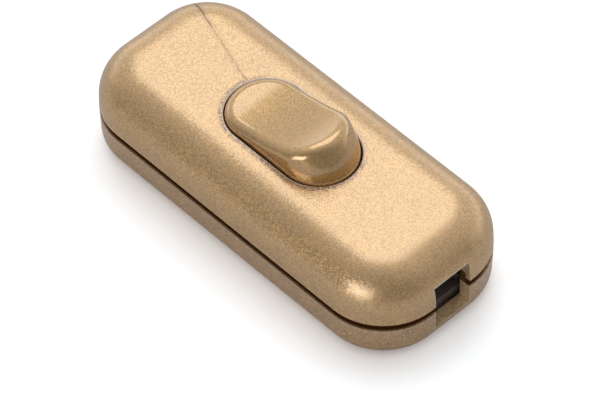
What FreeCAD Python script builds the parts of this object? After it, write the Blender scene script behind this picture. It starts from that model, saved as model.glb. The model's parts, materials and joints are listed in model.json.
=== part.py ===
import FreeCAD, Part
import math
import os

# Inline cord switch: a two-shell housing with a see-saw mechanism inside.
# Millimetres. X runs along the housing, Z is up, the origin is the middle of the underside.
# "left" is the -X end and "right" the +X end; "front" is the -Y side and "rear" the +Y side.

# Housing
LENGTH = 62.0
WIDTH = 26.7
HEIGHT = 14.7
CORNER_R = 9.4
DRAFT_DEG = 2.0
WALL = 1.8
BASE_EDGE_R = 2.5
TOP_EDGE_R = 6.3

# Joint between the two shells: the base's tongue stands inside the cover's lip
BASE_HEIGHT = 5.85
SEAM_GAP = 1.2
LIP = 0.85
TONGUE_CLEARANCE = 0.1
TONGUE_RISE = 2.15

# Cord slots in both end walls
SLOT_WIDTH = 6.5
SLOT_BOTTOM = 2.7
SLOT_TOP = 10.5

# Opening for the rocker; its ends widen downwards, clear of the rocker's swing
OPENING_LENGTH = 22.05
OPENING_WIDTH = 12.04
OPENING_EDGE_R = 0.25
OPENING_END_RELIEF = 0.45

# Rocker
ROCKER_GAP = 0.17
ROCKER_TILT_DEG = 13.5
PIVOT_DROP = 2.7
PADDLE_RISE = 5.95
PADDLE_HOLLOW = 1.0
PADDLE_SIDE_INSET = 0.3
PADDLE_EDGE_R = 1.5
PADDLE_CORNER_ANGLE = 25.0
PADDLE_CORNER_SHARE = 0.85
PADDLE_SECTIONS = 4
SKIRT_DROP = 2.6
ROCKER_WALL = 1.4
ROCKER_ROOF = 1.7

# Trunnions and the two bearing cheeks under the cover
TRUNNION_R = 1.2
BEARING_CLEARANCE = 0.05
CHEEK_SIDE_GAP = 0.32
CHEEK_THICKNESS = 1.5
CHEEK_HALF_LENGTH = 2.7
CHEEK_BELOW_PIVOT = 2.2
SNAP_THROAT = 2.0
TRUNNION_END_GAP = 0.2

# Plunger and spring in the rocker's guide tube
GUIDE_R = 2.7
GUIDE_DROP = 3.5
PLUNGER_R = 1.55
PLUNGER_CLEARANCE = 0.06
PLUNGER_TOP = 1.4
PLUNGER_SHOULDER = 4.9
PLUNGER_TIP_R = 0.9
TIP_GAP = 0.15
SPRING_WIRE = 0.36
SPRING_TURNS = 6
SPRING_END_GAP = 0.05

# See-saw contact arm
ARM_PIVOT_Z = 4.2
ARM_TILT_DEG = 7.0
ARM_BEND_DEG = 12.0
ARM_THICKNESS = 0.8
ARM_WIDTH = 5.0
ARM_REACH = 7.6
ARM_CORNER_R = 1.25
ARM_PIN_R = 0.5
ARM_PIN_CLEARANCE = 0.05
CONTACT_REACH = 6.2
CONTACT_R = 1.2
CONTACT_THICKNESS = 0.7
CONTACT_GAP_CLOSED = 0.15
RIVET_R = 0.6
RIVET_HEAD_R = 0.95
RIVET_HEAD = 0.3
RIVET_CLEARANCE = 0.03

# Strips that lie on the base's floor
STRIP_THICKNESS = 0.8
STRIP_WIDTH = 4.4
BRACKET_HALF_LENGTH = 2.2
BRACKET_EAR_GAP = 0.45
BRACKET_EAR_RISE = 0.75
STRIP_END_GAP = 2.4

# Terminals
TERMINAL_LENGTH = 6.0
TERMINAL_WIDTH = 6.0
TERMINAL_HEIGHT = 6.4
TERMINAL_SETBACK = 0.53
WIRE_HOLE_R = 1.5
WIRE_HOLE_RISE = 2.9
TERMINAL_EDGE = 0.3
NEUTRAL_LENGTH = 18.0
NEUTRAL_HEIGHT = 6.2
NEUTRAL_SKIRT_GAP = 0.4
NEUTRAL_WALL_GAP = 0.9
NEUTRAL_HOLE_WALL = 0.7
NEUTRAL_SCREW_WALL = 0.9
NEUTRAL_HEAD_INSET = 0.5
NEUTRAL_END_DISTANCE = 3.0

# Terminal screws
TERMINAL_SCREW_R = 1.3
TERMINAL_HEAD_R = 1.7
TERMINAL_HEAD = 1.3
TERMINAL_SCREW_BITE = 0.5

# What all the screws share
SCREW_CLEARANCE = 0.05
SCREW_HEAD_EDGE_R = 0.3
SCREW_POINT_SHARE = 0.33
DRIVE_WIDTH = 0.5
DRIVE_DEPTH = 0.6
CROSS_DRIVE_INSET = 0.63

# Pocket ribs on the base
POCKET_GAP = 0.2
POCKET_RIB = 1.0
POCKET_HEIGHT = 4.4
STOP_HEIGHT = 1.1

# Cord clamps
CLAMP_SETBACK = 2.6
CLAMP_LENGTH = 4.0
CLAMP_SPAN = 13.8
CLAMP_THICKNESS = 1.6
CLAMP_BOSS_HEIGHT = 0.5
CLAMP_BOSS_R = 1.75
CLAMP_END_DISTANCE = 1.7
CLAMP_SCREW_R = 1.1
CLAMP_HEAD_R = 1.9
CLAMP_HEAD = 1.2
CLAMP_SCREW_FLOOR = 0.6
CLAMP_SCREW_END_GAP = 0.3
CLAMP_RIB = 0.3
CLAMP_RIB_GAP = 0.45
CLAMP_RIB_COUNT = 2

# Housing screws, driven from the underside at two opposite corners
HOUSING_BOSS_R = 2.7
HOUSING_BOSS_CLAMP_GAP = 0.5
HOUSING_BOSS_WALL_GAP = 0.65
HOUSING_SCREW_R = 1.25
HOUSING_HEAD_R = 1.9
HOUSING_HEAD = 1.4
HOUSING_HEAD_RECESS = 0.7
HOUSING_HEAD_CLEARANCE = 0.2
HOUSING_SCREW_BITE = 4.0
BOSS_GAP = 0.3

# Overlap that lets two fused forms share volume, and how far a cut runs past a face
MERGE = 0.4
PAST = 1.0
TOLERANCE = 1e-4

# Sizes that follow
SEAM_MID = BASE_HEIGHT + SEAM_GAP / 2
COVER_RIM = BASE_HEIGHT + SEAM_GAP
TONGUE_TOP = BASE_HEIGHT + TONGUE_RISE
FLOOR = WALL
ROOF = HEIGHT - WALL
PIVOT_Z = HEIGHT - PIVOT_DROP
SKIRT_HALF_LENGTH = OPENING_LENGTH / 2 - ROCKER_GAP
SKIRT_HALF_WIDTH = OPENING_WIDTH / 2 - ROCKER_GAP
CHEEK_FACE = SKIRT_HALF_WIDTH + CHEEK_SIDE_GAP
STRIP_TOP = FLOOR + STRIP_THICKNESS
TERMINAL_X = OPENING_LENGTH / 2 + TERMINAL_SETBACK + TERMINAL_LENGTH / 2
NEUTRAL_ROOM = WIDTH / 2 - WALL - SKIRT_HALF_WIDTH
NEUTRAL_WIDTH = NEUTRAL_ROOM - NEUTRAL_SKIRT_GAP - NEUTRAL_WALL_GAP
NEUTRAL_Y = -(SKIRT_HALF_WIDTH + NEUTRAL_SKIRT_GAP + NEUTRAL_WIDTH / 2)
NEUTRAL_SCREW_X = NEUTRAL_LENGTH / 2 - NEUTRAL_END_DISTANCE
NEUTRAL_HOLE_R = NEUTRAL_WIDTH / 2 - NEUTRAL_HOLE_WALL
NEUTRAL_SCREW_R = NEUTRAL_WIDTH / 2 - NEUTRAL_SCREW_WALL
NEUTRAL_HEAD_R = NEUTRAL_WIDTH / 2 - NEUTRAL_HEAD_INSET
CLAMP_X = LENGTH / 2 - CLAMP_SETBACK - CLAMP_LENGTH / 2
CLAMP_Z = FLOOR + CLAMP_BOSS_HEIGHT
CLAMP_SCREW_Y = CLAMP_SPAN / 2 - CLAMP_END_DISTANCE
CLAMP_RIB_SPAN = 2 * (CLAMP_SCREW_Y - CLAMP_BOSS_R - CLAMP_RIB_GAP)
HOUSING_SCREW_X = CLAMP_X - CLAMP_LENGTH / 2 - HOUSING_BOSS_CLAMP_GAP - HOUSING_BOSS_R
HOUSING_SCREW_Y = WIDTH / 2 - WALL - HOUSING_BOSS_WALL_GAP - HOUSING_BOSS_R
SPRING_TOP = PADDLE_RISE - PADDLE_HOLLOW - ROCKER_ROOF
TIP_CENTRE = PIVOT_Z - ARM_PIVOT_Z - (PLUNGER_TIP_R + TIP_GAP + ARM_THICKNESS / 2) / math.cos(
    math.radians(ARM_BEND_DEG))

X_AXIS = FreeCAD.Vector(1, 0, 0)
Y_AXIS = FreeCAD.Vector(0, 1, 0)
Z_AXIS = FreeCAD.Vector(0, 0, 1)
ORIGIN = FreeCAD.Vector(0, 0, 0)
ENDS = {"left": -1, "right": 1}
SIDES = {"front": -1, "rear": 1}


# Basic forms

def box(x_low, x_high, y_low, y_high, z_low, z_high):
    corner = FreeCAD.Vector(x_low, y_low, z_low)
    return Part.makeBox(x_high - x_low, y_high - y_low, z_high - z_low, corner)


def upright(radius, x, y, z_low, z_high):
    return Part.makeCylinder(radius, z_high - z_low, FreeCAD.Vector(x, y, z_low), Z_AXIS)


def crosswise(radius, x, z, y_low, y_high):
    return Part.makeCylinder(radius, y_high - y_low, FreeCAD.Vector(x, y_low, z), Y_AXIS)


def lengthwise(radius, y, z, x_low, x_high):
    return Part.makeCylinder(radius, x_high - x_low, FreeCAD.Vector(x_low, y, z), X_AXIS)


def joined(first, others):
    return first.fuse(others).removeSplitter()


def flat_edges(solid, z):
    return [
        edge for edge in solid.Edges
        if abs(edge.BoundBox.ZMin - z) < TOLERANCE and abs(edge.BoundBox.ZMax - z) < TOLERANCE
    ]


def closed_wire(arcs):
    edges = []
    for index, arc in enumerate(arcs):
        following = arcs[(index + 1) % len(arcs)]
        end = arc.Vertexes[-1].Point
        start = following.Vertexes[0].Point
        edges.append(arc)
        if end.distanceToPoint(start) > TOLERANCE:
            edges.append(Part.LineSegment(end, start).toShape())
    return Part.Wire(edges)


def arc_about(centre_x, centre_y, radius, start_deg, end_deg, z):
    angles = [math.radians(start_deg + share * (end_deg - start_deg)) for share in (0, 0.5, 1)]
    points = [
        FreeCAD.Vector(centre_x + radius * math.cos(a), centre_y + radius * math.sin(a), z)
        for a in angles
    ]
    return Part.Arc(*points).toShape()


def rounded_rectangle(length, width, radius, z):
    core_x = length / 2 - radius
    core_y = width / 2 - radius
    corners = [(core_x, core_y), (-core_x, core_y), (-core_x, -core_y), (core_x, -core_y)]
    arcs = [
        arc_about(x, y, radius, 90 * quarter, 90 * quarter + 90, z)
        for quarter, (x, y) in enumerate(corners)
    ]
    return closed_wire(arcs)


def stadium(length, width, z_low, z_high):
    wire = rounded_rectangle(length, width, width / 2 - TOLERANCE, z_low)
    return Part.Face(wire).extrude(FreeCAD.Vector(0, 0, z_high - z_low))


# Housing shells

def housing_outline(z, inset):
    # The walls lean in from the seam by the draft angle, upwards and downwards.
    shrink = inset + math.tan(math.radians(DRAFT_DEG)) * abs(z - SEAM_MID)
    return rounded_rectangle(LENGTH - 2 * shrink, WIDTH - 2 * shrink, CORNER_R - shrink, z)


def housing_slab(z_low, z_high, inset):
    outlines = [housing_outline(z_low, inset), housing_outline(z_high, inset)]
    return Part.makeLoft(outlines, True, True)


def cord_slots():
    cuts = []
    for side in ENDS.values():
        near = side * (LENGTH / 2 - WALL - PAST)
        far = side * (LENGTH / 2 + PAST)
        cuts.append(box(min(near, far), max(near, far), -SLOT_WIDTH / 2, SLOT_WIDTH / 2,
                        SLOT_BOTTOM, SLOT_TOP))
    return cuts


def housing_screw_places():
    return {
        name: (side * HOUSING_SCREW_X, -side * HOUSING_SCREW_Y)
        for name, side in ENDS.items()
    }


def terminal_pockets():
    # Two side ribs stand beside each terminal block on the centre line.
    ribs = []
    rib_y = TERMINAL_WIDTH / 2 + POCKET_GAP
    for end in ENDS.values():
        for side in SIDES.values():
            x_near = end * TERMINAL_X - TERMINAL_LENGTH / 2
            x_far = end * TERMINAL_X + TERMINAL_LENGTH / 2
            y_inner = side * rib_y
            y_outer = side * (rib_y + POCKET_RIB)
            ribs.append(box(x_near, x_far, min(y_inner, y_outer), max(y_inner, y_outer),
                            FLOOR - MERGE, FLOOR + POCKET_HEIGHT))
    return ribs


def neutral_stops():
    stops = []
    for end in ENDS.values():
        near = end * (NEUTRAL_LENGTH / 2 + POCKET_GAP)
        far = end * (NEUTRAL_LENGTH / 2 + POCKET_GAP + POCKET_RIB)
        stops.append(box(min(near, far), max(near, far), NEUTRAL_Y - NEUTRAL_WIDTH / 2,
                         NEUTRAL_Y + NEUTRAL_WIDTH / 2, FLOOR - MERGE, FLOOR + STOP_HEIGHT))
    inner = NEUTRAL_Y + NEUTRAL_WIDTH / 2 + POCKET_GAP
    stops.append(box(-NEUTRAL_LENGTH / 2, NEUTRAL_LENGTH / 2, inner, inner + POCKET_RIB,
                     FLOOR - MERGE, FLOOR + STOP_HEIGHT))
    return stops


def clamp_bosses():
    return [
        upright(CLAMP_BOSS_R, end * CLAMP_X, side * CLAMP_SCREW_Y, FLOOR - MERGE, CLAMP_Z)
        for end in ENDS.values() for side in SIDES.values()
    ]


def clamp_pilots():
    return [
        upright(CLAMP_SCREW_R + SCREW_CLEARANCE, end * CLAMP_X, side * CLAMP_SCREW_Y,
                CLAMP_SCREW_FLOOR, CLAMP_Z + PAST)
        for end in ENDS.values() for side in SIDES.values()
    ]


def make_base_shell():
    outside = housing_slab(0, BASE_HEIGHT, 0)
    outside = outside.makeFillet(BASE_EDGE_R, flat_edges(outside, 0))
    tongue = housing_slab(FLOOR, TONGUE_TOP, LIP + TONGUE_CLEARANCE)
    cavity = housing_slab(FLOOR, TONGUE_TOP + PAST, WALL)
    cavity = cavity.makeFillet(BASE_EDGE_R - WALL, flat_edges(cavity, FLOOR))
    tongue = tongue.cut(box(-LENGTH, LENGTH, -WIDTH, WIDTH, 0, BASE_HEIGHT - MERGE))
    shell = outside.fuse(tongue).cut(cavity)
    boss_top = SEAM_MID
    places = housing_screw_places().values()
    bosses = [upright(HOUSING_BOSS_R, x, y, FLOOR - MERGE, boss_top) for x, y in places]
    inner_forms = bosses + terminal_pockets() + neutral_stops() + clamp_bosses()
    shell = joined(shell, inner_forms)
    cuts = cord_slots() + clamp_pilots()
    for x, y in places:
        head_seat = HOUSING_HEAD_RECESS + HOUSING_HEAD
        cuts.append(upright(HOUSING_HEAD_R + HOUSING_HEAD_CLEARANCE, x, y, -PAST, head_seat))
        cuts.append(upright(HOUSING_SCREW_R + SCREW_CLEARANCE, x, y, 0, boss_top + PAST))
    return shell.cut(cuts)


def bearing_cheeks():
    cheeks = []
    for side in SIDES.values():
        inner = side * CHEEK_FACE
        outer = side * (CHEEK_FACE + CHEEK_THICKNESS)
        cheek = box(-CHEEK_HALF_LENGTH, CHEEK_HALF_LENGTH, min(inner, outer), max(inner, outer),
                    PIVOT_Z - CHEEK_BELOW_PIVOT, ROOF + MERGE)
        throat = box(-SNAP_THROAT / 2, SNAP_THROAT / 2, -WIDTH, WIDTH,
                     PIVOT_Z - CHEEK_BELOW_PIVOT - PAST, PIVOT_Z)
        cheeks.append(cheek.cut(throat))
    return cheeks


def opening_outline(z):
    length = OPENING_LENGTH + 2 * OPENING_END_RELIEF * (HEIGHT - z) / WALL
    return rounded_rectangle(length, OPENING_WIDTH, OPENING_WIDTH / 2, z)


def rocker_opening():
    return Part.makeLoft([opening_outline(ROOF - PAST), opening_outline(HEIGHT + PAST)], True, True)


def make_cover_shell():
    outside = housing_slab(COVER_RIM, HEIGHT, 0)
    outside = outside.makeFillet(TOP_EDGE_R, flat_edges(outside, HEIGHT))
    cavity = housing_slab(COVER_RIM - PAST, ROOF, WALL)
    cavity = cavity.makeFillet(TOP_EDGE_R - WALL, flat_edges(cavity, ROOF))
    rebate = housing_slab(COVER_RIM - PAST, TONGUE_TOP, LIP)
    shell = outside.cut([cavity, rebate])
    shell = shell.cut(rocker_opening())
    rim = [
        edge for edge in flat_edges(shell, HEIGHT)
        if edge.BoundBox.XMax < OPENING_LENGTH / 2 + TOLERANCE
        and edge.BoundBox.XMin > -OPENING_LENGTH / 2 - TOLERANCE
        and abs(edge.CenterOfMass.y) < OPENING_WIDTH / 2 + TOLERANCE
    ]
    shell = shell.makeFillet(OPENING_EDGE_R, rim)
    boss_low = SEAM_MID + BOSS_GAP
    places = housing_screw_places().values()
    bosses = [
        upright(HOUSING_BOSS_R, x, y, boss_low, HEIGHT).common(outside) for x, y in places
    ]
    shell = joined(shell, bosses + bearing_cheeks())
    # The trunnion bores run a little way up into the roof.
    bore_end = CHEEK_FACE + CHEEK_THICKNESS
    bore = crosswise(TRUNNION_R + BEARING_CLEARANCE, 0, PIVOT_Z, -bore_end, bore_end)
    pilots = [
        upright(HOUSING_SCREW_R + SCREW_CLEARANCE, x, y, boss_low - PAST,
                boss_low + HOUSING_SCREW_BITE + BOSS_GAP)
        for x, y in places
    ]
    return shell.cut(cord_slots() + pilots + [bore])


# Rocker and what it carries, built level about the pivot and then tilted

def on_rocker(shape):
    shape.rotate(ORIGIN, Y_AXIS, -ROCKER_TILT_DEG)
    shape.translate(FreeCAD.Vector(0, 0, PIVOT_Z))
    return shape


def paddle_outline(half_length, half_width, end_radius, z):
    # Flat sides, a broad arc at each end and a corner arc tangent to both.
    tangent = math.radians(PADDLE_CORNER_ANGLE)
    corner_r = (half_width - end_radius * math.sin(tangent)) / (1 - math.sin(tangent))
    end_x = half_length - end_radius
    corner_x = end_x + (end_radius - corner_r) * math.cos(tangent)
    corner_y = half_width - corner_r
    a = PADDLE_CORNER_ANGLE
    arcs = [
        arc_about(end_x, 0, end_radius, -a, a, z),
        arc_about(corner_x, corner_y, corner_r, a, 90, z),
        arc_about(-corner_x, corner_y, corner_r, 90, 180 - a, z),
        arc_about(-end_x, 0, end_radius, 180 - a, 180 + a, z),
        arc_about(-corner_x, -corner_y, corner_r, 180 + a, 270, z),
        arc_about(corner_x, -corner_y, corner_r, 270, 360 - a, z),
    ]
    return closed_wire(arcs)


def swing_reach(y, h):
    # How far out a point may lie, h above the pivot, and still pass the rim of the opening.
    straight = SKIRT_HALF_LENGTH - SKIRT_HALF_WIDTH
    rim_x = straight + math.sqrt(SKIRT_HALF_WIDTH ** 2 - y ** 2)
    return math.sqrt(rim_x ** 2 + PIVOT_DROP ** 2 - h ** 2)


def paddle_section(h, half_width):
    # The end arc meets the swing on the centre line and near the corner.
    y = PADDLE_CORNER_SHARE * SKIRT_HALF_WIDTH
    half_length = swing_reach(0, h)
    fall = half_length - swing_reach(y, h)
    end_radius = (fall ** 2 + y ** 2) / (2 * fall)
    return paddle_outline(half_length, half_width, end_radius, h)


def paddle_body():
    skirt = Part.makeLoft([
        paddle_section(-SKIRT_DROP, SKIRT_HALF_WIDTH),
        paddle_section(0, SKIRT_HALF_WIDTH),
    ], True, True)
    walls = []
    for step in range(PADDLE_SECTIONS):
        share = step / (PADDLE_SECTIONS - 1)
        half_width = SKIRT_HALF_WIDTH - PADDLE_SIDE_INSET * share ** 2
        walls.append(paddle_section(share * (PADDLE_RISE + MERGE), half_width))
    body = skirt.fuse(Part.makeLoft(walls, True, False))
    # The top is hollowed lengthwise by a wide roller.
    top_half_length = swing_reach(0, PADDLE_RISE)
    hollow_r = (top_half_length ** 2 + PADDLE_HOLLOW ** 2) / (2 * PADDLE_HOLLOW)
    roller = crosswise(hollow_r, 0, PADDLE_RISE - PADDLE_HOLLOW + hollow_r, -WIDTH, WIDTH)
    body = body.cut(roller)
    top_face = max(body.Faces, key=lambda face: face.CenterOfMass.z)
    return body.makeFillet(PADDLE_EDGE_R, top_face.Edges)


def make_rocker():
    body = paddle_body()
    cavity = stadium(2 * (SKIRT_HALF_LENGTH - ROCKER_WALL), 2 * (SKIRT_HALF_WIDTH - ROCKER_WALL),
                     -SKIRT_DROP - PAST, SPRING_TOP)
    cavity_low = math.sqrt(SKIRT_HALF_LENGTH ** 2 - SKIRT_DROP ** 2) - ROCKER_WALL
    cavity = cavity.common(box(-cavity_low, cavity_low, -WIDTH, WIDTH, -HEIGHT, HEIGHT))
    guide = upright(GUIDE_R, 0, 0, -GUIDE_DROP, SPRING_TOP + MERGE)
    trunnion_end = CHEEK_FACE + CHEEK_THICKNESS - TRUNNION_END_GAP
    trunnions = []
    for side in SIDES.values():
        inner = side * (SKIRT_HALF_WIDTH - ROCKER_WALL)
        outer = side * trunnion_end
        trunnions.append(crosswise(TRUNNION_R, 0, 0, min(inner, outer), max(inner, outer)))
    shell = body.cut(cavity)
    shell = joined(shell, [guide] + trunnions)
    bore = upright(PLUNGER_R + PLUNGER_CLEARANCE, 0, 0, -GUIDE_DROP - PAST, SPRING_TOP)
    return on_rocker(shell.cut(bore))


def make_plunger():
    stem_top = -PLUNGER_TOP
    body = upright(PLUNGER_R, 0, 0, -PLUNGER_SHOULDER, stem_top)
    shoulder = flat_edges(body, -PLUNGER_SHOULDER)
    body = body.makeChamfer(PLUNGER_R - PLUNGER_TIP_R - TOLERANCE, shoulder)
    nose = upright(PLUNGER_TIP_R, 0, 0, -TIP_CENTRE, -PLUNGER_SHOULDER + MERGE)
    ball = Part.makeSphere(PLUNGER_TIP_R, FreeCAD.Vector(0, 0, -TIP_CENTRE))
    return on_rocker(joined(body, [nose, ball]))


def make_plunger_spring():
    low = -PLUNGER_TOP + SPRING_END_GAP + SPRING_WIRE / 2
    high = SPRING_TOP - SPRING_END_GAP - SPRING_WIRE / 2
    coil_r = PLUNGER_R - SPRING_WIRE
    pitch = (high - low) / SPRING_TURNS
    path = Part.makeHelix(pitch, high - low, coil_r)
    circle = Part.Circle(FreeCAD.Vector(coil_r, 0, 0), Y_AXIS, SPRING_WIRE / 2)
    section = Part.Wire(circle.toShape())
    coil = Part.Wire(path).makePipeShell([section], True, True)
    coil.translate(FreeCAD.Vector(0, 0, low))
    return on_rocker(coil)


# See-saw arm and contacts

def on_arm(shape):
    shape.rotate(ORIGIN, Y_AXIS, ARM_TILT_DEG)
    shape.translate(FreeCAD.Vector(0, 0, ARM_PIVOT_Z))
    return shape


def on_contact_wing(shape):
    # The contact wing runs to -X and is bent upwards.
    shape.rotate(ORIGIN, Y_AXIS, ARM_BEND_DEG)
    return on_arm(shape)


def make_contact_arm():
    half = ARM_THICKNESS / 2
    wings = []
    for end in ENDS.values():
        wing = box(min(0, end * ARM_REACH), max(0, end * ARM_REACH), -ARM_WIDTH / 2, ARM_WIDTH / 2,
                   -half, half)
        if end < 0:
            wing = wing.cut(upright(RIVET_R + RIVET_CLEARANCE, -CONTACT_REACH, 0, -PAST, PAST))
        corners = [
            edge for edge in wing.Edges
            if abs(edge.BoundBox.XLength) < TOLERANCE and abs(edge.BoundBox.YLength) < TOLERANCE
            and abs(edge.CenterOfMass.x - end * ARM_REACH) < TOLERANCE
        ]
        wing = wing.makeFillet(ARM_CORNER_R, corners)
        wing.rotate(ORIGIN, Y_AXIS, -end * ARM_BEND_DEG)
        wings.append(wing)
    pin_end = ARM_WIDTH / 2 + BRACKET_EAR_GAP + STRIP_THICKNESS
    pin = crosswise(ARM_PIN_R, 0, 0, -pin_end, pin_end)
    return on_arm(joined(pin, wings))


def contact_rivet(x, head_z, strip_thickness):
    # Disc with its back face at head_z, its shank up through the strip and a closed head beyond.
    disc = upright(CONTACT_R, x, 0, head_z - CONTACT_THICKNESS, head_z)
    shank = upright(RIVET_R, x, 0, head_z, head_z + strip_thickness)
    head = upright(RIVET_HEAD_R, x, 0, head_z + strip_thickness,
                   head_z + strip_thickness + RIVET_HEAD)
    return joined(disc, [shank, head])


def make_moving_contact():
    return on_contact_wing(contact_rivet(-CONTACT_REACH, -ARM_THICKNESS / 2, ARM_THICKNESS))


def fixed_contact_place():
    # Where the moving contact comes down at the far end of the see-saw's travel.
    closed = math.radians(ARM_BEND_DEG - ARM_TILT_DEG)
    face_drop = ARM_THICKNESS / 2 + CONTACT_THICKNESS
    x = -CONTACT_REACH * math.cos(closed) - face_drop * math.sin(closed)
    lowest = (ARM_PIVOT_Z + CONTACT_REACH * math.sin(closed) - face_drop * math.cos(closed)
              - CONTACT_R * math.sin(closed))
    return x, lowest - CONTACT_GAP_CLOSED


def make_fixed_contact():
    x, top = fixed_contact_place()
    disc = upright(CONTACT_R, x, 0, STRIP_TOP, top)
    shank = upright(RIVET_R, x, 0, FLOOR + TOLERANCE, STRIP_TOP)
    return joined(disc, [shank])


def make_fixed_contact_strip():
    x_contact, _ = fixed_contact_place()
    strip = box(-TERMINAL_X - TERMINAL_LENGTH / 2, -BRACKET_HALF_LENGTH - STRIP_END_GAP,
                -STRIP_WIDTH / 2, STRIP_WIDTH / 2, FLOOR, STRIP_TOP)
    return strip.cut(upright(RIVET_R + RIVET_CLEARANCE, x_contact, 0, 0, HEIGHT))


def make_pivot_bracket():
    ear_inner = ARM_WIDTH / 2 + BRACKET_EAR_GAP
    ear_outer = ear_inner + STRIP_THICKNESS
    plate = box(-BRACKET_HALF_LENGTH, BRACKET_HALF_LENGTH, -ear_outer, ear_outer, FLOOR, STRIP_TOP)
    tail = box(0, TERMINAL_X + TERMINAL_LENGTH / 2, -STRIP_WIDTH / 2, STRIP_WIDTH / 2,
               FLOOR, STRIP_TOP)
    ears = []
    for side in SIDES.values():
        y_low = min(side * ear_inner, side * ear_outer)
        y_high = max(side * ear_inner, side * ear_outer)
        ear = box(-BRACKET_HALF_LENGTH, BRACKET_HALF_LENGTH, y_low, y_high,
                  FLOOR, ARM_PIVOT_Z + BRACKET_EAR_RISE)
        notch_r = ARM_PIN_R + ARM_PIN_CLEARANCE
        notch = crosswise(notch_r, 0, ARM_PIVOT_Z, y_low - PAST, y_high + PAST)
        mouth = box(-notch_r, notch_r, y_low - PAST, y_high + PAST, ARM_PIVOT_Z, HEIGHT)
        ears.append(ear.cut([notch, mouth]))
    return joined(plate, [tail] + ears)


# Terminals and screws

def terminal_block(x, y, length, width, z_low, height, hole_r, screw_r, screw_places):
    block = box(x - length / 2, x + length / 2, y - width / 2, y + width / 2,
                z_low, z_low + height)
    upper = flat_edges(block, z_low + height)
    block = block.makeChamfer(TERMINAL_EDGE, upper)
    hole_z = z_low + WIRE_HOLE_RISE
    cuts = [lengthwise(hole_r, y, hole_z, x - length, x + length)]
    for screw_x in screw_places:
        cuts.append(upright(screw_r + SCREW_CLEARANCE, screw_x, y, hole_z,
                            z_low + height + PAST))
    return block.cut(cuts)


def make_screw(head_r, head, shank_r, length, crossed):
    # Stands on its head's seat at the origin: head above, shank below with a bevelled end.
    shank = upright(shank_r, 0, 0, -length, MERGE)
    shank = shank.makeChamfer(shank_r * SCREW_POINT_SHARE, flat_edges(shank, -length))
    cap = upright(head_r, 0, 0, 0, head)
    cap = cap.makeFillet(SCREW_HEAD_EDGE_R, flat_edges(cap, head))
    slot_low = head - DRIVE_DEPTH
    half = DRIVE_WIDTH / 2
    reach = head_r - CROSS_DRIVE_INSET if crossed else head_r + PAST
    slots = [box(-reach, reach, -half, half, slot_low, head + PAST)]
    if crossed:
        slots.append(box(-half, half, -reach, reach, slot_low, head + PAST))
    return joined(shank, [cap]).cut(slots)


def make_terminal_screw(x, y, block_low, block_height, hole_r, screw_r, head_r):
    # The screw's end stands a little way into the wire hole.
    hole_top = block_low + WIRE_HOLE_RISE + hole_r
    seat = block_low + block_height
    length = seat - hole_top + TERMINAL_SCREW_BITE
    screw = make_screw(head_r, TERMINAL_HEAD, screw_r, length, False)
    screw.translate(FreeCAD.Vector(x, y, seat))
    return screw


def make_cord_clamp(end):
    x = end * CLAMP_X
    half = CLAMP_LENGTH / 2
    wire = rounded_rectangle(CLAMP_LENGTH, CLAMP_SPAN, half - TOLERANCE, CLAMP_Z)
    bar = Part.Face(wire).extrude(FreeCAD.Vector(0, 0, CLAMP_THICKNESS))
    ribs = []
    for index in range(CLAMP_RIB_COUNT):
        rib_x = half * (2 * index - CLAMP_RIB_COUNT + 1) / CLAMP_RIB_COUNT
        ribs.append(box(rib_x - CLAMP_RIB / 2, rib_x + CLAMP_RIB / 2, -CLAMP_RIB_SPAN / 2,
                        CLAMP_RIB_SPAN / 2, CLAMP_Z - CLAMP_RIB, CLAMP_Z + MERGE))
    bar = joined(bar, ribs)
    holes = [
        upright(CLAMP_SCREW_R + SCREW_CLEARANCE, 0, side * CLAMP_SCREW_Y, 0, HEIGHT)
        for side in SIDES.values()
    ]
    bar = bar.cut(holes)
    bar.translate(FreeCAD.Vector(x, 0, 0))
    return bar


def make_clamp_screw(end, side):
    seat = CLAMP_Z + CLAMP_THICKNESS
    length = seat - CLAMP_SCREW_FLOOR - CLAMP_SCREW_END_GAP
    screw = make_screw(CLAMP_HEAD_R, CLAMP_HEAD, CLAMP_SCREW_R, length, True)
    screw.translate(FreeCAD.Vector(end * CLAMP_X, side * CLAMP_SCREW_Y, seat))
    return screw


def make_housing_screw(place):
    x, y = place
    seat = HOUSING_HEAD_RECESS + HOUSING_HEAD
    length = SEAM_MID + BOSS_GAP + HOUSING_SCREW_BITE - seat
    screw = make_screw(HOUSING_HEAD_R, HOUSING_HEAD, HOUSING_SCREW_R, length, True)
    screw.rotate(ORIGIN, X_AXIS, 180)
    screw.translate(FreeCAD.Vector(x, y, seat))
    return screw


# Assembly

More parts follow.
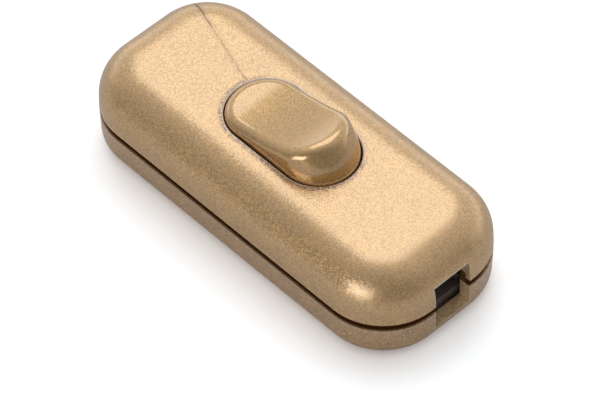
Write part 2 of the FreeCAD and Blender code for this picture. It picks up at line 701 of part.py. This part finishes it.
def make_parts():
    parts = {
        "base_shell": make_base_shell(),
        "cover_shell": make_cover_shell(),
        "rocker": make_rocker(),
        "plunger": make_plunger(),
        "plunger_spring": make_plunger_spring(),
        "contact_arm": make_contact_arm(),
        "moving_contact": make_moving_contact(),
        "fixed_contact": make_fixed_contact(),
        "fixed_contact_strip": make_fixed_contact_strip(),
        "pivot_bracket": make_pivot_bracket(),
    }
    for name, end in (("load_terminal", -1), ("line_terminal", 1)):
        x = end * TERMINAL_X
        parts[name] = terminal_block(
            x, 0, TERMINAL_LENGTH, TERMINAL_WIDTH, STRIP_TOP, TERMINAL_HEIGHT,
            WIRE_HOLE_R, TERMINAL_SCREW_R, [x])
        parts[name + "_screw"] = make_terminal_screw(
            x, 0, STRIP_TOP, TERMINAL_HEIGHT, WIRE_HOLE_R, TERMINAL_SCREW_R, TERMINAL_HEAD_R)
    parts["neutral_terminal"] = terminal_block(
        0, NEUTRAL_Y, NEUTRAL_LENGTH, NEUTRAL_WIDTH, FLOOR, NEUTRAL_HEIGHT,
        NEUTRAL_HOLE_R, NEUTRAL_SCREW_R, [end * NEUTRAL_SCREW_X for end in ENDS.values()])
    for name, end in ENDS.items():
        parts["neutral_screw_" + name] = make_terminal_screw(
            end * NEUTRAL_SCREW_X, NEUTRAL_Y, FLOOR, NEUTRAL_HEIGHT,
            NEUTRAL_HOLE_R, NEUTRAL_SCREW_R, NEUTRAL_HEAD_R)
        parts["cord_clamp_" + name] = make_cord_clamp(end)
        for side_name, side in SIDES.items():
            parts["clamp_screw_" + name + "_" + side_name] = make_clamp_screw(end, side)
        parts["housing_screw_" + name] = make_housing_screw(housing_screw_places()[name])
    return parts


os.makedirs("parts", exist_ok=True)
for node, shape in make_parts().items():
    shape.exportStep("parts/" + node + ".step")
    print(node, len(shape.Solids), shape.isValid(), round(shape.Volume, 3))
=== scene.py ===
import bpy
import json
import math
from mathutils import Matrix, Vector


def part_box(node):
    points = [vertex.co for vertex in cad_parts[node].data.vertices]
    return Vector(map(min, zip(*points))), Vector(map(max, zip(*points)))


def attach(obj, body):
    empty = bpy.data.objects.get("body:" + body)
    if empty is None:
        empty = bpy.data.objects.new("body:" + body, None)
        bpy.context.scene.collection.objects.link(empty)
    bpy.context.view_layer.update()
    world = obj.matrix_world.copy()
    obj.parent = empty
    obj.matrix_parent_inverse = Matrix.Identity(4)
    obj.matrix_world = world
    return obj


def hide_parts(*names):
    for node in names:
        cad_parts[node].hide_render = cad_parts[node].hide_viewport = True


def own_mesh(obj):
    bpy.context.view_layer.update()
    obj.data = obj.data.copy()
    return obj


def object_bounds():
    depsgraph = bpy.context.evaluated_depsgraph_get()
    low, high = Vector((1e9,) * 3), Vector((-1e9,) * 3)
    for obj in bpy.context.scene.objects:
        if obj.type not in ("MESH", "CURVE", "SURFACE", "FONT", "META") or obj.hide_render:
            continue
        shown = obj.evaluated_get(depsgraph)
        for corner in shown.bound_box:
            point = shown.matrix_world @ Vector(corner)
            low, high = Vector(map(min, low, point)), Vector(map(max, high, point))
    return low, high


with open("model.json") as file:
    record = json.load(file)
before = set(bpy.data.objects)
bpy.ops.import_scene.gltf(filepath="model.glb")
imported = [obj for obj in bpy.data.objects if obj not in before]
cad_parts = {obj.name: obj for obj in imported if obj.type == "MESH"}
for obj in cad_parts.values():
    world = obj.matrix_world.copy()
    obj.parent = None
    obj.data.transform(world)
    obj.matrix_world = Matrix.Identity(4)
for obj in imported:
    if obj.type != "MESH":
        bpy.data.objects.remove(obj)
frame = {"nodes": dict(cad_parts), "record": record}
cad_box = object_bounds()

MM = 0.001

# Camera, in the photograph's frame of 600 by 400
CAMERA_AZIMUTH_DEG = 47.023
CAMERA_ELEVATION_DEG = 50.196
CAMERA_ROLL_DEG = -1.061
CAMERA_DISTANCE_MM = 585.47
CAMERA_AIM_HEIGHT_MM = 8.0
CAMERA_SHIFT_MM = (-0.912, 4.979)
FOCAL_PIXELS = 4260.5
IMAGE_WIDTH = 600
SENSOR_MM = 36.0
CLIP_NEAR = 10 * MM
CLIP_FAR = 10000 * MM

# Places on the housing that the finishes refer to
COVER_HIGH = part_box("cover_shell")[1]
OPENING_HALF_LENGTH = 11.025 * MM
OPENING_HALF_WIDTH = 6.02 * MM
BASE_EDGE = 5.85 * MM
HOUSING_CORNER_R = 9.4 * MM
SLOT_HALF_WIDTH = 3.25 * MM
SLOT_SILL = 2.7 * MM
SLOT_HEAD = 10.5 * MM
SLOT_NEAR = 28.5 * MM

# Bands of painted highlight and of dust, as where each starts, where it ends and how far it
# fades
RIM_HIGHLIGHT = (0.02 * MM, 0.22 * MM, 0.06 * MM)
DUST_RING = (0.36 * MM, 0.55 * MM, 0.50 * MM)
SLOT_EDGE_HIGHLIGHT = (0.02 * MM, 0.10 * MM, 0.08 * MM)
BASE_EDGE_HIGHLIGHT = (BASE_EDGE - 0.14 * MM, BASE_EDGE - 0.02 * MM, 0.10 * MM)

# Weld line on the cover: y = start + slope * run + curve * run squared, with run along x
WELD_START = (-10.93 * MM, 1.85 * MM)
WELD_SLOPE = -0.291
WELD_CURVE = 2.09
WELD_STRAY = 0.5 * MM
WELD_CORE = (0.06 * MM, 0.28 * MM)
WELD_SMEAR = (0.10 * MM, 0.80 * MM)

# Finishes, as linear colours
GOLD = (0.71, 0.397, 0.097)
GOLD_ROCKER = (0.66, 0.372, 0.092)
GOLD_BASE = (0.66, 0.400, 0.170)
DEEP_TINT = (1.0, 0.95, 0.70)
PALE_TINT = (1.0, 1.03, 1.25)
# Painted highlight: cream for the lines along the opening's rim, the slot edges and the base's
# upper edge
HIGHLIGHT_CREAM = (0.94, 0.84, 0.74)
RIM_DUST = (0.20, 0.14, 0.15)
WELD_BROWN = (0.20, 0.115, 0.060)
# Painted shade: dark brown for the groove between the shells and for the base's foot
SHADE_BROWN = (0.17, 0.075, 0.020)
# Painted light: paler gold for the lit walls and sill of the cord slots
LIT_SILL_GOLD = (0.98, 0.72, 0.44)
FLOOR_PAPER = (0.72, 0.72, 0.725)
FLOOR_SEEN = (1.86, 1.91, 1.96)

# The record's slot, then the material's name, colour, metallic, roughness, grains per metre,
# spread of colour and depth of bump
PLAIN_FINISHES = {
    "terminal_brass": ("brass", (0.70, 0.52, 0.24), 1.0, 0.30, 900.0, 0.20, 0.02 * MM),
    "strip_copper": ("copper", (0.72, 0.38, 0.22), 1.0, 0.30, 900.0, 0.20, 0.02 * MM),
    "contact_silver": ("silver", (0.80, 0.80, 0.78), 1.0, 0.25, 900.0, 0.10, 0.01 * MM),
    "screw_steel": ("dark_zinc", (0.20, 0.20, 0.21), 1.0, 0.50, 1200.0, 0.20, 0.02 * MM),
    "spring_steel": ("spring_wire", (0.45, 0.46, 0.48), 1.0, 0.30, 1200.0, 0.20, 0.01 * MM),
    "plunger_plastic": ("nylon", (0.78, 0.76, 0.70), 0.0, 0.45, 900.0, 0.06, 0.01 * MM),
    "clamp_plastic": ("clamp_plastic", (0.20, 0.165, 0.150), 0.0, 0.50, 900.0, 0.20, 0.03 * MM),
}

# Grain of the gold finishes
FLAKES_PER_METRE = 7600.0
FINE_GRAINS_PER_METRE = 9000.0
CLOUDS_PER_METRE = 260.0

# Studio
FLOOR_REACH = 1.5
FLOOR_GAP = 0.05 * MM
BRIGHT_SIDE = (-0.50, 0.70, 0.51)
SKY_LEVELS = (0.24, 0.64)
BACKDROP_TOP = (0.10, 0.32)
BACKDROP_GAIN = 0.56
# Name, place and size in millimetres, watts
SOFTBOXES = (
    ("top_softbox", (-270, 252, 641), (540, 560), 0.87),
    ("front_softbox", (90, -600, 200), (420, 300), 0.76),
)

# The Mix node's colour sockets share their names with its other kinds, so they go by number
MIX_FIRST, MIX_SECOND, MIX_RESULT = 6, 7, 2


# Node helpers

def add_node(tree, kind, **settings):
    node = tree.nodes.new(kind)
    for name, value in settings.items():
        setattr(node, name, value)
    return node


def put(tree, target, value):
    """Links value to the socket where it is a socket, and otherwise sets it."""
    if isinstance(value, bpy.types.NodeSocket):
        tree.links.new(value, target)
    elif isinstance(value, (int, float)):
        target.default_value = value
    elif len(target.default_value) == 4:
        target.default_value = (*value, 1.0)
    else:
        target.default_value = value


def maths(tree, operation, *values):
    node = add_node(tree, "ShaderNodeMath", operation=operation)
    for socket, value in zip(node.inputs, values):
        put(tree, socket, value)
    return node.outputs["Value"]


def product(tree, first, *others):
    for other in others:
        first = maths(tree, "MULTIPLY", first, other)
    return first


def vector_maths(tree, operation, **values):
    """First and Second are the node's two vectors, and Scale its number."""
    node = add_node(tree, "ShaderNodeVectorMath", operation=operation)
    sockets = {"First": 0, "Second": 1, "Scale": "Scale"}
    for name, value in values.items():
        put(tree, node.inputs[sockets[name]], value)
    return node.outputs["Value" if operation == "DOT_PRODUCT" else "Vector"]


def remap(tree, value, low, high, out_low=0.0, out_high=1.0):
    node = add_node(tree, "ShaderNodeMapRange", interpolation_type="SMOOTHSTEP")
    for name, item in (("Value", value), ("From Min", low), ("From Max", high),
                       ("To Min", out_low), ("To Max", out_high)):
        put(tree, node.inputs[name], item)
    return node.outputs["Result"]


def band(tree, value, low, high, soft):
    """1 where value lies from low to high, fading over soft on both sides."""
    rise = remap(tree, value, low - soft, low)
    fall = remap(tree, value, high, high + soft, 1.0, 0.0)
    return product(tree, rise, fall)


def blend_colour(tree, factor, first, second):
    node = add_node(tree, "ShaderNodeMix", data_type="RGBA")
    put(tree, node.inputs["Factor"], factor)
    put(tree, node.inputs[MIX_FIRST], first)
    put(tree, node.inputs[MIX_SECOND], second)
    return node.outputs[MIX_RESULT]


def noise(tree, place, scale, detail, roughness):
    node = add_node(tree, "ShaderNodeTexNoise")
    put(tree, node.inputs["Vector"], place)
    node.inputs["Scale"].default_value = scale
    node.inputs["Detail"].default_value = detail
    node.inputs["Roughness"].default_value = roughness
    return node.outputs["Fac"]


def axes(tree, vector):
    node = add_node(tree, "ShaderNodeSeparateXYZ")
    put(tree, node.inputs[0], vector)
    return node.outputs["X"], node.outputs["Y"], node.outputs["Z"]


def outline_distance(tree, x, y, half_length, half_width, corner):
    """Distance outside a rounded rectangle about the origin, negative within it."""
    past = []
    for value, half in ((x, half_length), (y, half_width)):
        beyond = maths(tree, "SUBTRACT", maths(tree, "ABSOLUTE", value), half - corner)
        beyond = maths(tree, "MAXIMUM", beyond, 0.0)
        past.append(product(tree, beyond, beyond))
    return maths(tree, "SUBTRACT", maths(tree, "SQRT", maths(tree, "ADD", *past)), corner)


def new_group(name, inputs, outputs):
    group = bpy.data.node_groups.new(name, "ShaderNodeTree")
    for label, kind, value in inputs:
        socket = group.interface.new_socket(label, in_out="INPUT", socket_type=kind)
        if value is not None:
            socket.default_value = value
    for label, kind in outputs:
        group.interface.new_socket(label, in_out="OUTPUT", socket_type=kind)
    enter = group.nodes.new("NodeGroupInput").outputs
    leave = group.nodes.new("NodeGroupOutput").inputs
    return group, enter, leave


def use_group(tree, group, **values):
    node = add_node(tree, "ShaderNodeGroup", node_tree=group)
    for name, value in values.items():
        put(tree, node.inputs[name], value)
    return node.outputs


# Shared surface effects

def flake_grain_group():
    """Fine metal flake in moulded plastic: flat flakes, each tilted its own way."""
    group, enter, leave = new_group(
        "flake_grain",
        [("Place", "NodeSocketVector", None), ("Surface", "NodeSocketVector", None),
         ("Flakes per metre", "NodeSocketFloat", FLAKES_PER_METRE),
         ("Tilt", "NodeSocketFloat", 0.3)],
        [("Sparkle", "NodeSocketFloat"), ("Cloud", "NodeSocketFloat"),
         ("Normal", "NodeSocketVector")])
    place = enter["Place"]
    flakes = add_node(group, "ShaderNodeTexVoronoi", feature="F1")
    put(group, flakes.inputs["Vector"], place)
    put(group, flakes.inputs["Scale"], enter["Flakes per metre"])
    split = add_node(group, "ShaderNodeSeparateColor")
    put(group, split.inputs["Color"], flakes.outputs["Color"])
    fine = noise(group, place, FINE_GRAINS_PER_METRE, 2.0, 0.7)
    sparkle = maths(group, "MULTIPLY_ADD", split.outputs["Red"], 0.5, product(group, fine, 0.5))
    centred = vector_maths(group, "SUBTRACT", First=flakes.outputs["Color"],
                           Second=(0.5, 0.5, 0.5))
    leant = vector_maths(group, "SCALE", First=centred, Scale=enter["Tilt"])
    facing = vector_maths(group, "ADD", First=enter["Surface"], Second=leant)
    put(group, leave["Sparkle"], sparkle)
    put(group, leave["Cloud"], noise(group, place, CLOUDS_PER_METRE, 3.0, 0.6))
    put(group, leave["Normal"], vector_maths(group, "NORMALIZE", First=facing))
    return group


def slot_edge_group():
    """Edges and walls of the cord slots, as masks for a painted highlight and painted light."""
    group, enter, leave = new_group(
        "slot_edge",
        [("Place", "NodeSocketVector", None)],
        [("Edge", "NodeSocketFloat"), ("Wall", "NodeSocketFloat")])
    place = enter["Place"]
    x, y, z = axes(group, place)
    outer = remap(group, maths(group, "ABSOLUTE", x), SLOT_NEAR, SLOT_NEAR + 0.5 * MM)
    sideways = maths(group, "SUBTRACT", maths(group, "ABSOLUTE", y), SLOT_HALF_WIDTH)
    above = maths(group, "SUBTRACT", z, SLOT_HEAD)
    below = maths(group, "SUBTRACT", SLOT_SILL, z)
    beside = maths(group, "MAXIMUM", sideways, above)
    # Painted highlight: a broken line along the slot's edges, stronger on one side
    line = band(group, beside, *SLOT_EDGE_HIGHLIGHT)
    patchy = remap(group, noise(group, place, 3200.0, 2.0, 0.6), 0.40, 0.60, 0.1, 1.0)
    one_side = remap(group, y, SLOT_HALF_WIDTH - 0.6 * MM, SLOT_HALF_WIDTH, 1.0, 0.1)
    put(group, leave["Edge"], product(group, line, patchy, one_side, outer))
    # Painted light: the slot's walls and sill, to be painted paler as if lit
    away = maths(group, "MAXIMUM", beside, below)
    wall = remap(group, away, 0.005 * MM, 0.03 * MM, 1.0, 0.0)
    put(group, leave["Wall"], product(group, wall, outer))
    return group


FLAKES = flake_grain_group()
SLOT_EDGES = slot_edge_group()


# Marks on the gold pieces: each gives the paint and a mask of its painted highlights and
# painted light, which is made less metallic

def slot_marks(tree, place, paint):
    """Painted highlights on the cord slots' edges and painted light on their paler walls."""
    slot = use_group(tree, SLOT_EDGES, Place=place)
    mottle = remap(tree, noise(tree, place, 2200.0, 3.0, 0.7), 0.35, 0.65, 0.45, 0.95)
    wall = product(tree, slot["Wall"], mottle)
    # Painted light on the slot walls, then a painted highlight on the slot edges
    paint = blend_colour(tree, wall, paint, LIT_SILL_GOLD)
    paint = blend_colour(tree, slot["Edge"], paint, HIGHLIGHT_CREAM)
    return paint, maths(tree, "MAXIMUM", wall, slot["Edge"])


def weld_line(tree, place, x, y):
    """Line where the melt met: bent, broken, and darkest at its two ends."""
    run = maths(tree, "SUBTRACT", x, WELD_START[0])
    bend = product(tree, run, run, WELD_CURVE)
    course = maths(tree, "MULTIPLY_ADD", run, WELD_SLOPE, WELD_START[1])
    course = maths(tree, "ADD", course, bend)
    stray = maths(tree, "MULTIPLY_ADD", noise(tree, place, 700.0, 2.0, 0.5),
                  WELD_STRAY, -0.5 * WELD_STRAY)
    off = maths(tree, "ADD", maths(tree, "SUBTRACT", y, course), stray)
    off = maths(tree, "ABSOLUTE", off)
    core = remap(tree, off, *WELD_CORE, 1.0, 0.0)
    smear = remap(tree, off, *WELD_SMEAR, 0.34, 0.0)
    far = remap(tree, run, -12.5 * MM, -9.5 * MM, 0.95, 0.50)
    near = remap(tree, run, -3.0 * MM, -0.6 * MM, 0.0, 0.65)
    broken = remap(tree, noise(tree, place, 1500.0, 2.0, 0.6), 0.36, 0.60, 0.6, 1.0)
    before_rim = remap(tree, run, -0.5 * MM, -0.1 * MM, 1.0, 0.0)
    return product(tree, maths(tree, "MAXIMUM", core, smear), maths(tree, "MAXIMUM", far, near),
                   broken, before_rim)


def cover_marks(tree, place, paint, shader):
    """Marks on the cover: a painted highlight along the opening's rim, the dust round it and
    the weld line.
    """
    x, y, z = axes(tree, place)
    away = outline_distance(tree, x, y, OPENING_HALF_LENGTH, OPENING_HALF_WIDTH,
                            OPENING_HALF_WIDTH)
    on_top = remap(tree, z, COVER_HIGH.z - 0.5 * MM, COVER_HIGH.z - 0.3 * MM)
    specks = remap(tree, noise(tree, place, 5200.0, 2.0, 0.7), 0.42, 0.58)
    near_side = remap(tree, y, 1.0 * MM, 6.0 * MM, 1.0, 0.25)
    dust = product(tree, band(tree, away, *DUST_RING), specks, near_side, on_top)
    # Painted highlight: a cream line round the opening's rim
    rim = product(tree, band(tree, away, *RIM_HIGHLIGHT), on_top)
    weld = weld_line(tree, place, x, y)
    paint = blend_colour(tree, dust, paint, RIM_DUST)
    paint = blend_colour(tree, rim, paint, HIGHLIGHT_CREAM)
    paint = blend_colour(tree, weld, paint, WELD_BROWN)
    dull = maths(tree, "MAXIMUM", dust, weld)
    put(tree, shader.inputs["Coat Weight"], maths(tree, "MULTIPLY_ADD", dull, -0.75, 1.0))
    paint, slot_painted_light = slot_marks(tree, place, paint)
    return paint, maths(tree, "MAXIMUM", rim, slot_painted_light)


def base_marks(tree, place, paint, shader):
    """Marks on the base: painted shade on the tongue in the groove, a painted highlight along
    the upper edge, and painted shade darkening the foot.
    """
    paint, slot_painted_light = slot_marks(tree, place, paint)
    x, y, z = axes(tree, place)
    # Painted shade: the base darkens towards its foot, near the floor
    foot_shade = remap(tree, z, 0.1 * MM, 1.6 * MM, 0.45, 0.0)
    paint = blend_colour(tree, foot_shade, paint, SHADE_BROWN)
    # Painted highlight: a paler cream line along the base's upper edge
    edge_highlight = product(tree, band(tree, z, *BASE_EDGE_HIGHLIGHT), 0.25)
    paint = blend_colour(tree, edge_highlight, paint, HIGHLIGHT_CREAM)
    # Painted shade: the tongue and ledge inside the groove are darkened as shade
    inward = outline_distance(tree, x, y, COVER_HIGH.x, COVER_HIGH.y, HOUSING_CORNER_R)
    inward = remap(tree, inward, -0.34 * MM, -0.16 * MM, 1.0, 0.0)
    ledge = remap(tree, z, BASE_EDGE - 0.04 * MM, BASE_EDGE - 0.01 * MM)
    groove_shade = product(tree, ledge, inward)
    put(tree, shader.inputs["Coat Weight"], maths(tree, "SUBTRACT", 1.0, groove_shade))
    return blend_colour(tree, groove_shade, paint, SHADE_BROWN), slot_painted_light


# Materials

def new_material(name):
    material = bpy.data.materials.new(name)
    material.use_nodes = True
    tree = material.node_tree
    tree.nodes.clear()
    out = tree.nodes.new("ShaderNodeOutputMaterial")
    shader = tree.nodes.new("ShaderNodeBsdfPrincipled")
    tree.links.new(shader.outputs["BSDF"], out.inputs["Surface"])
    place = tree.nodes.new("ShaderNodeTexCoord").outputs["Object"]
    return material, tree, shader, place


def gold_material(name, colour, metallic, roughness, grain, tilt, coat_roughness, coat_ior,
                  marks=None):
    material, tree, shader, place = new_material(name)
    surface = tree.nodes.new("ShaderNodeNewGeometry").outputs["Normal"]
    flakes = use_group(tree, FLAKES, Place=place, Surface=surface, Tilt=tilt)
    deep = [channel * (1 - grain) * tint for channel, tint in zip(colour, DEEP_TINT)]
    pale = [channel * (1 + grain) * tint for channel, tint in zip(colour, PALE_TINT)]
    paint = blend_colour(tree, remap(tree, flakes["Sparkle"], 0.2, 0.8), deep, pale)
    cloud = remap(tree, flakes["Cloud"], 0.3, 0.7, 0.97, 1.03)
    paint = vector_maths(tree, "SCALE", First=paint, Scale=cloud)
    shader.inputs["Metallic"].default_value = metallic
    shader.inputs["Coat Weight"].default_value = 1.0
    shader.inputs["Coat Roughness"].default_value = coat_roughness
    shader.inputs["Coat IOR"].default_value = coat_ior
    if marks:
        paint, painted_light = marks(tree, place, paint, shader)
        # Less metallic where highlights or light are painted
        put(tree, shader.inputs["Metallic"],
            maths(tree, "MULTIPLY_ADD", painted_light, -metallic, metallic))
    put(tree, shader.inputs["Base Color"], paint)
    put(tree, shader.inputs["Roughness"],
        remap(tree, flakes["Sparkle"], 0.2, 0.8, *roughness))
    put(tree, shader.inputs["Normal"], flakes["Normal"])
    return material


def plain_material(name, colour, metallic, roughness, grains_per_metre, spread, bump_depth):
    material, tree, shader, place = new_material(name)
    grain = noise(tree, place, grains_per_metre, 4.0, 0.6)
    dark = tuple(channel * (1 - spread) for channel in colour)
    put(tree, shader.inputs["Base Color"], blend_colour(tree, grain, dark, colour))
    shader.inputs["Metallic"].default_value = metallic
    put(tree, shader.inputs["Roughness"],
        remap(tree, grain, 0.2, 0.8, roughness * 0.85, roughness * 1.15))
    bump = add_node(tree, "ShaderNodeBump")
    bump.inputs["Strength"].default_value = 1.0
    bump.inputs["Distance"].default_value = bump_depth
    put(tree, bump.inputs["Height"], grain)
    tree.links.new(bump.outputs["Normal"], shader.inputs["Normal"])
    return material


def dress(node, material):
    piece = frame["nodes"][node]
    piece.data.materials.clear()
    piece.data.materials.append(material)
    for polygon in piece.data.polygons:
        polygon.material_index = 0


def dress_all():
    finishes = {}
    finishes["housing_gold"] = gold_material(
        "housing_gold", GOLD, metallic=0.78, roughness=(0.28, 0.38), grain=0.34, tilt=0.21,
        coat_roughness=0.3, coat_ior=2.6, marks=cover_marks)
    base = gold_material(
        "base_gold", GOLD_BASE, metallic=0.60, roughness=(0.30, 0.38), grain=0.42, tilt=0.38,
        coat_roughness=0.3, coat_ior=2.0, marks=base_marks)
    finishes["rocker_gold"] = gold_material(
        "rocker_gold", GOLD_ROCKER, metallic=0.85, roughness=(0.24, 0.32), grain=0.22,
        tilt=0.06, coat_roughness=0.09, coat_ior=2.4)
    for slot, finish in PLAIN_FINISHES.items():
        finishes[slot] = plain_material(*finish)
    for row in frame["record"]["subparts"]:
        dress(row["node"], finishes[row["material_slot"]])
    dress("base_shell", base)


# Pieces of the scene

def make_coil():
    """The plunger's coil, as a copy of the spring carried by the rocker."""
    coil = bpy.data.objects.new("plunger_coil", frame["nodes"]["plunger_spring"].data.copy())
    bpy.context.scene.collection.objects.link(coil)
    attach(coil, "rocker")
    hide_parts("plunger_spring")
    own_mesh(coil)


# Stage

def make_floor():
    mesh = bpy.data.meshes.new("floor")
    corners = [(x * FLOOR_REACH, y * FLOOR_REACH, 0)
               for x, y in ((-1, -1), (1, -1), (1, 1), (-1, 1))]
    mesh.from_pydata(corners, [], [(0, 1, 2, 3)])
    floor = bpy.data.objects.new("floor", mesh)
    bpy.context.scene.collection.objects.link(floor)
    floor.location.z = cad_box[0].z - FLOOR_GAP
    material = bpy.data.materials.new("floor_white")
    material.use_nodes = True
    tree = material.node_tree
    tree.nodes.clear()
    out = tree.nodes.new("ShaderNodeOutputMaterial")
    matt = tree.nodes.new("ShaderNodeBsdfDiffuse")
    # Seen directly the paper is over-exposed to white, and the object's shadow stays in it.
    seen = tree.nodes.new("ShaderNodeLightPath").outputs["Is Camera Ray"]
    put(tree, matt.inputs["Color"], blend_colour(tree, seen, FLOOR_PAPER, FLOOR_SEEN))
    tree.links.new(matt.outputs["BSDF"], out.inputs["Surface"])
    mesh.materials.append(material)


def make_world():
    """White where the camera sees it, and soft room light, stronger from one side."""
    world = bpy.data.worlds.new("studio")
    bpy.context.scene.world = world
    world.use_nodes = True
    tree = world.node_tree
    tree.nodes.clear()
    out = tree.nodes.new("ShaderNodeOutputWorld")
    sky = tree.nodes.new("ShaderNodeBackground")
    sky.inputs["Color"].default_value = (1, 1, 1, 1)
    tree.links.new(sky.outputs["Background"], out.inputs["Surface"])
    direction = tree.nodes.new("ShaderNodeTexCoord").outputs["Generated"]
    facing = vector_maths(tree, "DOT_PRODUCT", First=direction, Second=BRIGHT_SIDE)
    level = remap(tree, facing, -0.4, 0.9, *SKY_LEVELS)
    height = axes(tree, direction)[2]
    backdrop = remap(tree, height, *BACKDROP_TOP, BACKDROP_GAIN, 0.0)
    behind = remap(tree, facing, 0.1, 0.6)
    level = maths(tree, "MULTIPLY_ADD", backdrop, behind, level)
    camera_ray = tree.nodes.new("ShaderNodeLightPath").outputs["Is Camera Ray"]
    put(tree, sky.inputs["Strength"], maths(tree, "MAXIMUM", level, camera_ray))


def make_lights():
    for name, place_mm, size_mm, watts in SOFTBOXES:
        data = bpy.data.lights.new(name, "AREA")
        data.shape = "RECTANGLE"
        data.size, data.size_y = (side * MM for side in size_mm)
        data.energy = watts
        lamp = bpy.data.objects.new(name, data)
        bpy.context.scene.collection.objects.link(lamp)
        lamp.location = Vector(place_mm) * MM
        lamp.rotation_mode = "QUATERNION"
        lamp.rotation_quaternion = (-lamp.location).to_track_quat("-Z", "Y")


def make_camera():
    azimuth = math.radians(CAMERA_AZIMUTH_DEG)
    elevation = math.radians(CAMERA_ELEVATION_DEG)
    roll = math.radians(CAMERA_ROLL_DEG)
    back = Vector((math.sin(azimuth) * math.cos(elevation),
                   -math.cos(azimuth) * math.cos(elevation), math.sin(elevation)))
    level_right = Vector((math.cos(azimuth), math.sin(azimuth), 0))
    level_up = back.cross(level_right)
    right = level_right * math.cos(roll) + level_up * math.sin(roll)
    up = level_up * math.cos(roll) - level_right * math.sin(roll)
    shift_right, shift_up = CAMERA_SHIFT_MM
    place = (Vector((0, 0, CAMERA_AIM_HEIGHT_MM)) - right * shift_right - up * shift_up
             + back * CAMERA_DISTANCE_MM)
    data = bpy.data.cameras.new("camera")
    data.sensor_width = SENSOR_MM
    data.lens = FOCAL_PIXELS / IMAGE_WIDTH * SENSOR_MM
    data.clip_start = CLIP_NEAR
    data.clip_end = CLIP_FAR
    camera = bpy.data.objects.new("camera", data)
    bpy.context.scene.collection.objects.link(camera)
    turn = Matrix((right, up, back)).transposed()
    camera.matrix_world = Matrix.Translation(place * MM) @ turn.to_4x4()
    bpy.context.scene.camera = camera


dress_all()
make_coil()
make_floor()
make_world()
make_lights()
make_camera()
bpy.context.scene.view_settings.view_transform = "Standard"
